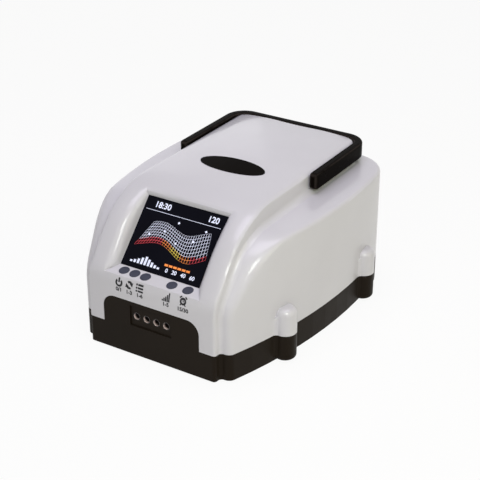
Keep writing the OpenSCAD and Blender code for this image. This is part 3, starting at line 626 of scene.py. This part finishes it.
def round_ends(handle, reach=6.2 * MM, least=0.3, cuts=8):
    """Rounds the front ends of the handle's two arms in plan, to a least share of their width."""
    front = min(v.co.y for v in handle.data.vertices)
    tips = [abs(v.co.x) for v in handle.data.vertices if v.co.y < front + reach]
    middle = (min(tips) + max(tips)) / 2
    only(handle)
    bpy.ops.object.mode_set(mode="EDIT")
    for k in range(1, cuts + 1):
        bpy.ops.mesh.select_all(action="SELECT")
        bpy.ops.mesh.bisect(plane_co=(0, front + reach * (k / cuts) ** 2, 0), plane_no=(0, 1, 0))
    bpy.ops.mesh.select_all(action="DESELECT")
    bpy.ops.object.mode_set(mode="OBJECT")
    for v in handle.data.vertices:
        left = 1 - (v.co.y - front) / reach
        if left > 0:
            axis = math.copysign(middle, v.co.x)
            kept = least + (1 - least) * math.sqrt(max(1 - left * left, 0))
            v.co.x = axis + (v.co.x - axis) * kept
    bpy.ops.object.shade_smooth_by_angle(angle=HANDLE_ANGLE)
    return handle


# Flat shapes are drawn on the ground plane in millimetres, then lifted to where they belong.


def flat_disc(x, y, radius, sides, turn=0.0):
    """A filled disc, or a shape with a few sides, turned by an angle in degrees."""
    bpy.ops.object.select_all(action="DESELECT")
    bpy.ops.mesh.primitive_circle_add(
        vertices=sides,
        radius=radius * MM,
        fill_type="NGON",
        location=(x * MM, y * MM, 0),
        rotation=(0, 0, math.radians(turn)),
    )
    return settle(added("disc"))


def flat_bar(x, y, width, height, turn=0.0):
    bpy.ops.object.select_all(action="DESELECT")
    bpy.ops.mesh.primitive_plane_add(size=1, location=(x * MM, y * MM, 0), rotation=(0, 0, turn))
    bar = added("bar")
    bar.scale = (width * MM, height * MM, 1)
    return settle(bar)


def flat_arc(x, y, radius, width, start, sweep, steps=20):
    """Part of a flat ring: an edge spun round the middle, from start through sweep, in degrees."""
    bpy.ops.object.select_all(action="DESELECT")
    bpy.ops.mesh.primitive_plane_add(size=1, location=(0, 0, 0))
    arc = added("arc")
    mesh = arc.data
    near, far = (radius - width / 2) * MM, (radius + width / 2) * MM
    turn = math.radians(start)
    mesh.clear_geometry()
    ends = [(r * math.cos(turn), r * math.sin(turn), 0) for r in (near, far)]
    mesh.from_pydata(ends, [(0, 1)], [])
    bpy.ops.object.mode_set(mode="EDIT")
    bpy.ops.mesh.select_all(action="SELECT")
    bpy.ops.mesh.spin(steps=steps, angle=-math.radians(sweep), center=(0, 0, 0), axis=(0, 0, 1))
    bpy.ops.object.mode_set(mode="OBJECT")
    arc.location = (x * MM, y * MM, 0)
    return settle(arc)


def flat_number(text, x, y, height, bold=0.035):
    bpy.ops.object.select_all(action="DESELECT")
    bpy.ops.object.text_add(location=(x * MM, y * MM, 0))
    number = added("number")
    number.data.body = text
    number.data.size = height * TEXT_SIZE * MM
    number.data.align_x = "CENTER"
    number.data.align_y = "CENTER"
    number.data.offset = bold * MM * height
    only(number)
    bpy.ops.object.convert(target="MESH")
    return settle(added("number"))


# ---------------------------------------------------------------- housing


class PUMP_OT_housing(bpy.types.Operator):
    """Dress the upper housing, the base and what is fixed to them"""

    bl_idname = "pump.housing"
    bl_label = "Housing"

    def execute(self, context):
        look = context.scene.pump_housing
        finish = {"tone": 0.035, "clouding": 0.05, "coat": 0.6}
        pearl = moulded(
            "pearl_moulding", look.pearl, look.pearl_roughness, look.grain, 0.012 * MM, **finish
        )
        shell = smooth_copy("upper_shell", "upper_case", SHELL_ANGLE)
        finish_piece(shell, pearl, "case", "shell_pearl", "upper_case")
        finish = {"tone": 0.18, "clouding": 0.08, "dust": 0.02, "specular": 0.07}
        base = moulded("base_moulding", look.base, 0.42, 0.7 * MM, 0.03 * MM, **finish)
        dress(base, "lower_case")
        rubber = moulded("foot_rubber", linear("#1C1C1C"), 0.8, 0.5 * MM, 0.05 * MM, tone=0.2)
        dress(rubber, "rubber_feet")
        dress(metal("screw_steel", linear("#B9BCC0"), 0.3), "case_screws")
        steel = metal("pin_steel", linear("#C4C6C8"), 0.22, (200, 4000, 4000))
        dress(steel, "handle_pin_left", "handle_pin_right", "pin_clips")
        return {"FINISHED"}


class PUMP_OT_handle(bpy.types.Operator):
    """Dress the swinging handle and the oval badge in gloss black"""

    bl_idname = "pump.handle"
    bl_label = "Handle and badge"

    def execute(self, context):
        look = context.scene.pump_housing
        # the pale #37312F edge colour is a painted highlight along the handle's rounded edges
        gloss = polished("handle_gloss", look.gloss, 0.24, 0.12, 0.008, linear("#37312F"))
        handle = round_ends(smooth_copy("round_handle", "handle", HANDLE_ANGLE))
        finish_piece(handle, gloss, "handle", "gloss_black", "handle")
        dress(polished("badge_gloss", look.gloss, 0.12, 0.06, 0.004), "badge")
        return {"FINISHED"}


class PUMP_OT_keys(bpy.types.Operator):
    """Dress the five round keys"""

    bl_idname = "pump.keys"
    bl_label = "Keys"

    def execute(self, context):
        look = context.scene.pump_housing
        finish = {"tone": 0.12, "clouding": 0.06}
        soft = moulded("key_moulding", look.keys, 0.48, 0.35 * MM, 0.02 * MM, **finish)
        dress(soft, *[name + "_button" for name in KEYS])
        return {"FINISHED"}


class PUMP_OT_ports(bpy.types.Operator):
    """Dress the air sockets and the mains inlet"""

    bl_idname = "pump.ports"
    bl_label = "Sockets"

    def execute(self, context):
        look = context.scene.pump_housing
        # the dark colour is used on the socket end faces and as painted shade deep in the bores
        plating = socket_plating("socket_plating", look.sockets, linear("#1C1513"), 2 * MM, 4.6 * MM)
        dress(plating, *["air_socket_%d" % k for k in PORTS])
        inlet = moulded("inlet_moulding", linear("#1E1D1D"), 0.5, 0.6 * MM, 0.03 * MM, tone=0.15)
        dress(inlet, "mains_inlet")
        dress(metal("contact_brass", linear("#C9B47A"), 0.25), "inlet_pins")
        return {"FINISHED"}


# ---------------------------------------------------------------- display


def onto_window(obj, screen):
    """Lays a flat drawing just above the slanted window."""
    obj.data.transform(
        Matrix.Translation((0, WINDOW_Y, WINDOW_Z))
        @ Matrix.Rotation(screen.slant, 4, "X")
        @ Matrix.Translation((0, 0, PICTURE_LIFT))
    )
    return obj


def swell_at(s, t=0.0):
    """Rise of the wave at the share s across the net and the share t up it, in millimetres."""
    turn = 2 * math.pi * (WAVE_TURNS * s + 0.16 * t) - WAVE_LAG
    return WAVE_SWELL * (1 - 0.35 * t) * math.sin(turn) * (0.55 + 0.45 * s)


def wave_net(screen):
    """A net of lines over a wave, seen at a slant."""
    bpy.ops.object.select_all(action="DESELECT")
    bpy.ops.mesh.primitive_grid_add(x_subdivisions=27, y_subdivisions=8, size=1, location=(0, 0, 0))
    net = added("wave_net")
    for knot in net.data.vertices:
        s, t = knot.co.x + 0.5, knot.co.y + 0.5
        x = (2 * s - 1) * WAVE_HALF * (1 - 0.2 * t) + 4 * t
        y = WAVE_FOOT + WAVE_DEPTH * t + swell_at(s, t)
        knot.co = (x * MM, y * MM, 0)
    lines = net.modifiers.new("lines", "WIREFRAME")
    lines.thickness = screen.line
    lines.use_even_offset = False
    apply_all(net)
    net.scale = (1, 1, 0.08)
    return settle(net)


def warm_faces(net):
    """Gives the faces near the wave's lower edge the warm tints, red at both ends and yellow amid."""
    for face in net.data.polygons:
        s = (face.center.x / MM + WAVE_HALF) / (2 * WAVE_HALF)
        if face.center.y / MM - WAVE_FOOT - swell_at(s) < WARM_REACH:
            face.material_index = WARM_TINTS[sum(s >= step for step in WARM_STEPS)]


class PUMP_OT_display(bpy.types.Operator):
    """Dress the display window and draw its picture"""

    bl_idname = "pump.display"
    bl_label = "Display"

    def execute(self, context):
        screen = context.scene.pump_screen
        dress(polished("window_acrylic", screen.glass, 0.14, 0.05, 0.03), "display_window")
        pale, red, orange, yellow = [
            lit("picture_" + name, tint, screen.glow)
            for name, tint in (
                ("pale", screen.lines),
                ("red", screen.red),
                ("orange", screen.orange),
                ("yellow", screen.yellow),
            )
        ]
        net = wave_net(screen)
        finish_piece(net, pale, "case", "window_dark")
        for tint in (red, orange, yellow):
            net.data.materials.append(tint)
        warm_faces(net)
        onto_window(net, screen)

        stars = ((-30, 38), (-14, 45), (3, 36), (21, 43), (31, 56), (-2, 57))
        bars = (2, 3.2, 5, 7, 9, 7, 5, 3.2, 2)
        marks = [flat_disc(x, y, 1.5, 4) for x, y in stars]
        marks += [flat_bar(-38 + 4.1 * k, 6 + h / 2, 2.7, h) for k, h in enumerate(bars)]
        marks += [flat_number("18:30", -27, 69.5, 6.4), flat_number("120", 34, 69.5, 6.4)]
        marks += [flat_number("0   20   40   60", 21, 7.2, 4.2), flat_bar(0, 63, 90, 0.45)]
        picture = onto_window(joined("picture_marks", marks), screen)
        finish_piece(picture, pale, "case", "window_dark")
        warm = [flat_bar(2.6 + 5.2 * k, 12.6, 4.2, 2.2) for k in range(6)]
        levels = onto_window(joined("picture_levels", warm), screen)
        finish_piece(levels, orange, "case", "window_dark")
        return {"FINISHED"}


# ---------------------------------------------------------------- printed symbols


def power_symbol(x, size):
    ring = flat_arc(x, -0.06 * size, 0.36 * size, 0.24 * size, 133, 274)
    return [ring, flat_bar(x, 0.24 * size, 0.22 * size, 0.5 * size)]


def cycle_symbol(x, size):
    r = 0.33 * size
    parts = []
    for start in (20, 200):
        parts.append(flat_arc(x, 0, r, 0.25 * size, start, 108))
        turn = math.radians(start)
        tip = (x + r * math.cos(turn), r * math.sin(turn))
        parts.append(flat_disc(*tip, 0.29 * size, 3, start - 180))
    return parts


def list_symbol(x, size):
    levels = (-0.35, 0, 0.35)
    rows = [flat_bar(x + 0.12 * size, y * size, 0.7 * size, 0.22 * size) for y in levels]
    return rows + [flat_disc(x - 0.4 * size, y * size, 0.12 * size, 12) for y in levels]


def level_symbol(x, size):
    return [
        flat_bar(x + (k - 2) * 0.21 * size, (-0.5 + h / 2) * size, 0.17 * size, h * size)
        for k, h in enumerate((0.2, 0.38, 0.56, 0.78, 1.0))
    ]


def clock_symbol(x, size):
    """A ring with two hands, two bells on top and two feet."""
    bars = [(0, 0.05, 0.1, 0.22, 0), (0.06, -0.04, 0.16, 0.1, 0)]
    for side in (-1, 1):
        bars.append((side * 0.34, 0.38, 0.32, 0.16, -38 * side))
        bars.append((side * 0.29, -0.44, 0.14, 0.2, 32 * side))
    return [flat_arc(x, -0.04 * size, 0.3 * size, 0.23 * size, 0, 360, 32)] + [
        flat_bar(x + dx * size, y * size, width * size, height * size, math.radians(turn))
        for dx, y, width, height, turn in bars
    ]


def onto_nose(name, parts, z, made):
    """Stands flat shapes up before the nose and wraps them onto it as a film of ink."""
    mark = joined(name, parts)
    bpy.ops.object.mode_set(mode="EDIT")
    bpy.ops.mesh.select_all(action="SELECT")
    bpy.ops.mesh.quads_convert_to_tris()
    bpy.ops.mesh.subdivide(number_cuts=5)
    bpy.ops.object.mode_set(mode="OBJECT")
    upright = Matrix.Rotation(math.pi / 2, 4, "X")
    mark.data.transform(Matrix.Translation((0, NOSE_Y - 5 * MM, BASE_Z + z)) @ upright)
    wrap = mark.modifiers.new("wrap", "SHRINKWRAP")
    wrap.wrap_method = "PROJECT"
    wrap.target = bpy.data.objects["upper_shell"]
    wrap.use_project_x = False
    wrap.use_project_y = True
    wrap.use_project_z = False
    wrap.use_negative_direction = True
    wrap.use_positive_direction = True
    wrap.offset = INK_LIFT
    apply_all(mark)
    return finish_piece(mark, made, "case", "part_black")


class PUMP_OT_print(bpy.types.Operator):
    """Print the symbols and the numbers on the nose, under the keys"""

    bl_idname = "pump.print"
    bl_label = "Printed symbols"

    def execute(self, context):
        sheet = context.scene.pump_print
        ink = moulded("printing_ink", sheet.ink, 0.5, 0.3 * MM, 0.005 * MM, tone=0.1)
        size = sheet.symbol / MM
        rows = [
            (-37.7, 0.0, power_symbol, "0/1"),
            (-25.0, 0.0, cycle_symbol, "1-3"),
            (-12.2, 0.0, list_symbol, "1-6"),
            (19.5, 0.0, level_symbol, "1-5"),
            (39.7, 1.3, clock_symbol, "15/30"),
        ]
        for name, (x, rise, draw, numbers) in zip(KEYS, rows):
            figures = [flat_number(numbers, x, 0, sheet.caption / MM, 0.06)]
            onto_nose(name + "_symbol", draw(x, size), sheet.symbol_z + rise * MM, ink)
            onto_nose(name + "_numbers", figures, sheet.caption_z, ink)
        return {"FINISHED"}


# ---------------------------------------------------------------- inside


class PUMP_OT_inside(bpy.types.Operator):
    """Dress the air parts, the pump and the boards inside the housing"""

    bl_idname = "pump.inside"
    bl_label = "Inside"

    def execute(self, context):
        hoses = " ".join(["supply_hose"] + ["air_hose_%d" % k for k in PORTS])
        rubbers = "pump_mounts diaphragm_left diaphragm_right"
        blacks = "display_module display_frame tact_switches buzzer port_manifold pressure_sensor"
        valves = "distributor_body distributor_cover"
        moulds = [
            ("inner_black", "#1D1D1F", 0.5, 0.5, 0.02, {"tone": 0.15}, blacks),
            ("hose_silicone", "#E6E5DE", 0.32, 1.2, 0.01, {"tone": 0.06, "coat": 0.3}, hoses),
            ("valve_moulding", "#8D8F92", 0.45, 0.6, 0.02, {"tone": 0.1}, valves),
            ("rotor_acetal", "#E8E2D0", 0.35, 0.8, 0.01, {"tone": 0.06}, "distributor_rotor"),
            ("mount_rubber", "#232326", 0.75, 0.6, 0.04, {"tone": 0.2}, rubbers),
            ("filter_felt", "#DAD6C8", 0.9, 0.4, 0.15, {"tone": 0.25}, "intake_filter"),
            ("capacitor_sleeve", "#20304A", 0.25, 0.9, 0.008, {"tone": 0.1, "coat": 0.4}, "power_capacitor"),
            ("fuse_body", "#D2D4D6", 0.2, 0.9, 0.006, {"tone": 0.1, "coat": 0.5}, "mains_fuse"),
        ]
        for name, code, roughness, grain, depth, finish, dressed in moulds:
            made = moulded(name, linear(code), roughness, grain * MM, depth * MM, **finish)
            dress(made, *dressed.split())
        metals = [
            ("motor_can", "#B4B6B8", 0.28, (3000, 300, 3000), "distributor_motor"),
            ("plate_steel", "#B0B4B8", 0.35, (300, 2500, 2500), "pump_plate"),
            ("head_casting", "#9EA0A2", 0.45, (900, 900, 900), "pump_head_left pump_head_right"),
        ]
        for name, code, roughness, streaks, dressed in metals:
            dress(metal(name, linear(code), roughness, streaks), *dressed.split())
        cores = "pump_core_front pump_core_rear"
        coils = "pump_coil_front pump_coil_rear"
        bands = [
            ("core_laminations", "#77726C", "#2C2A28", 0.5, "Y", 0.4, 0.8, cores),
            ("magnet_steel", "#6A6C70", "#303236", 6, "X", 0.35, 0.8, "pump_armature"),
            ("coil_winding", "#C06A30", "#4A2410", 0.45, "Z", 0.3, 0.6, coils),
            ("transformer_core", "#8A7A60", "#332C22", 0.5, "X", 0.45, 0.4, "transformer"),
        ]
        for name, code, groove, pitch, axis, roughness, metallic, dressed in bands:
            tints = (linear(code), linear(groove))
            dress(banded(name, *tints, pitch * MM, axis, roughness, metallic), *dressed.split())
        boards = board_mask("solder_mask", linear("#1E6A3C"))
        dress(boards, "display_board", "control_board", "main_board")
        return {"FINISHED"}


# ---------------------------------------------------------------- stage


def look_at(obj, spot):
    """Turns a lamp or a camera towards a spot."""
    ahead = Vector(spot) - obj.location
    obj.rotation_euler = ahead.to_track_quat("-Z", "Y").to_euler()


def lamp(name, place, size, power, tint):
    """A square soft lamp that looks at the pump."""
    bpy.ops.object.select_all(action="DESELECT")
    bpy.ops.object.light_add(type="AREA", location=place)
    light = added(name)
    light.data.shape = "SQUARE"
    light.data.size = size
    light.data.energy = power
    light.data.color = tint
    look_at(light, (0, 0, 0.07))
    return light


def seen_by_eye(tree):
    """1 on rays from the camera, from gloss and through glass, where the white background shows."""
    path = tree.nodes.new("ShaderNodeLightPath")
    shown = maths(tree, "MAXIMUM", path.outputs["Is Camera Ray"], path.outputs["Is Glossy Ray"])
    return maths(tree, "MAXIMUM", shown, path.outputs["Is Transmission Ray"])


class PUMP_OT_stage(bpy.types.Operator):
    """Set the floor, the soft lamps, the white surroundings and the camera"""

    bl_idname = "pump.stage"
    bl_label = "Stage"

    def execute(self, context):
        stage = context.scene.pump_stage
        context.scene.view_settings.view_transform = "Standard"
        bpy.ops.object.select_all(action="DESELECT")
        bpy.ops.mesh.primitive_plane_add(size=8, location=(0, 0, 0))
        floor = added("studio_floor")
        made, tree, shader = material("studio_floor", roughness=0.9)
        place, _ = object_place(tree)
        cloud = fade(tree, noise(tree, place, 3.0), 0.3, 0.7)
        tint = blended(tree, cloud, [0.985 * c for c in stage.floor], stage.floor)
        wire(tree, (tint, shader.inputs["Base Color"]))
        glow = tree.nodes.new("ShaderNodeEmission")
        glow.inputs["Color"].default_value = WHITE
        mix = tree.nodes.new("ShaderNodeMixShader")
        out = tree.nodes["Material Output"]
        part = product(tree, seen_by_eye(tree), 0.92)
        wire(
            tree,
            (part, mix.inputs[0]),
            (shader.outputs["BSDF"], mix.inputs[1]),
            (glow.outputs[0], mix.inputs[2]),
            (mix.outputs[0], out.inputs["Surface"]),
        )
        floor.data.materials.append(made)

        world = bpy.data.worlds.new("studio")
        context.scene.world = world
        world.use_nodes = True
        tree = world.node_tree
        tree.nodes.clear()
        sky = tree.nodes.new("ShaderNodeBackground")
        sky.inputs["Color"].default_value = (1.0, 0.98, 0.8, 1)
        sky.inputs["Strength"].default_value = stage.sky
        white = tree.nodes.new("ShaderNodeBackground")
        white.inputs["Color"].default_value = WHITE
        white.inputs["Strength"].default_value = 1.0
        mix = tree.nodes.new("ShaderNodeMixShader")
        out = tree.nodes.new("ShaderNodeOutputWorld")
        wire(
            tree,
            (seen_by_eye(tree), mix.inputs[0]),
            (sky.outputs[0], mix.inputs[1]),
            (white.outputs[0], mix.inputs[2]),
            (mix.outputs[0], out.inputs["Surface"]),
        )

        lamp("key_lamp", (0.8, -0.8, 1.0), 0.5, stage.key, (0.965, 1.0, 0.925))
        lamp("top_lamp", (0.0, 0.0, 1.5), 1.0, stage.top, (0.88, 0.835, 1.0))
        lamp("fill_lamp", (0.05, -1.25, 0.85), 0.9, stage.fill, (0.95, 1.0, 0.9))
        lamp("side_lamp", (1.35, -0.05, 0.6), 0.9, stage.side, (1.0, 1.0, 0.5))
        lamp("rear_lamp", (-0.95, 1.05, 0.4), 0.7, stage.rear, (0.97, 0.98, 1.0))

        bpy.ops.object.select_all(action="DESELECT")
        bpy.ops.object.camera_add(location=stage.eye)
        eye = added("photo_camera")
        eye.data.lens = stage.lens
        eye.data.sensor_width = 36
        eye.data.clip_end = 20
        look_at(eye, stage.aim)
        context.scene.camera = eye
        return {"FINISHED"}


# ---------------------------------------------------------------- panel and run


class PUMP_PT_panel(bpy.types.Panel):
    """The pump's pieces, in the order in which they are made"""

    bl_idname = "PUMP_PT_panel"
    bl_label = "Compression Pump"
    bl_space_type = "VIEW_3D"
    bl_region_type = "UI"
    bl_category = "Pump"

    def draw(self, context):
        column = self.layout.column()
        for operator in OPERATORS:
            column.operator(operator.bl_idname)
        for name, kind in SETTINGS.items():
            for label in kind.__annotations__:
                column.prop(getattr(context.scene, name), label)


OPERATORS = [
    PUMP_OT_stage,
    PUMP_OT_housing,
    PUMP_OT_handle,
    PUMP_OT_keys,
    PUMP_OT_ports,
    PUMP_OT_display,
    PUMP_OT_print,
    PUMP_OT_inside,
]
SETTINGS = {
    "pump_housing": PumpHousing,
    "pump_screen": PumpScreen,
    "pump_print": PumpPrint,
    "pump_stage": PumpStage,
}


def register():
    for kind in (*SETTINGS.values(), *OPERATORS, PUMP_PT_panel):
        bpy.utils.register_class(kind)
    for name, kind in SETTINGS.items():
        setattr(bpy.types.Scene, name, PointerProperty(type=kind))


def unregister():
    for name in SETTINGS:
        delattr(bpy.types.Scene, name)
    for kind in reversed((*SETTINGS.values(), *OPERATORS, PUMP_PT_panel)):
        bpy.utils.unregister_class(kind)


def main():
    register()
    bpy.ops.pump.stage()
    bpy.ops.pump.housing()
    bpy.ops.pump.handle()
    bpy.ops.pump.keys()
    bpy.ops.pump.ports()
    bpy.ops.pump.display()
    bpy.ops.pump.print()
    bpy.ops.pump.inside()


if __name__ == "__main__":
    main()
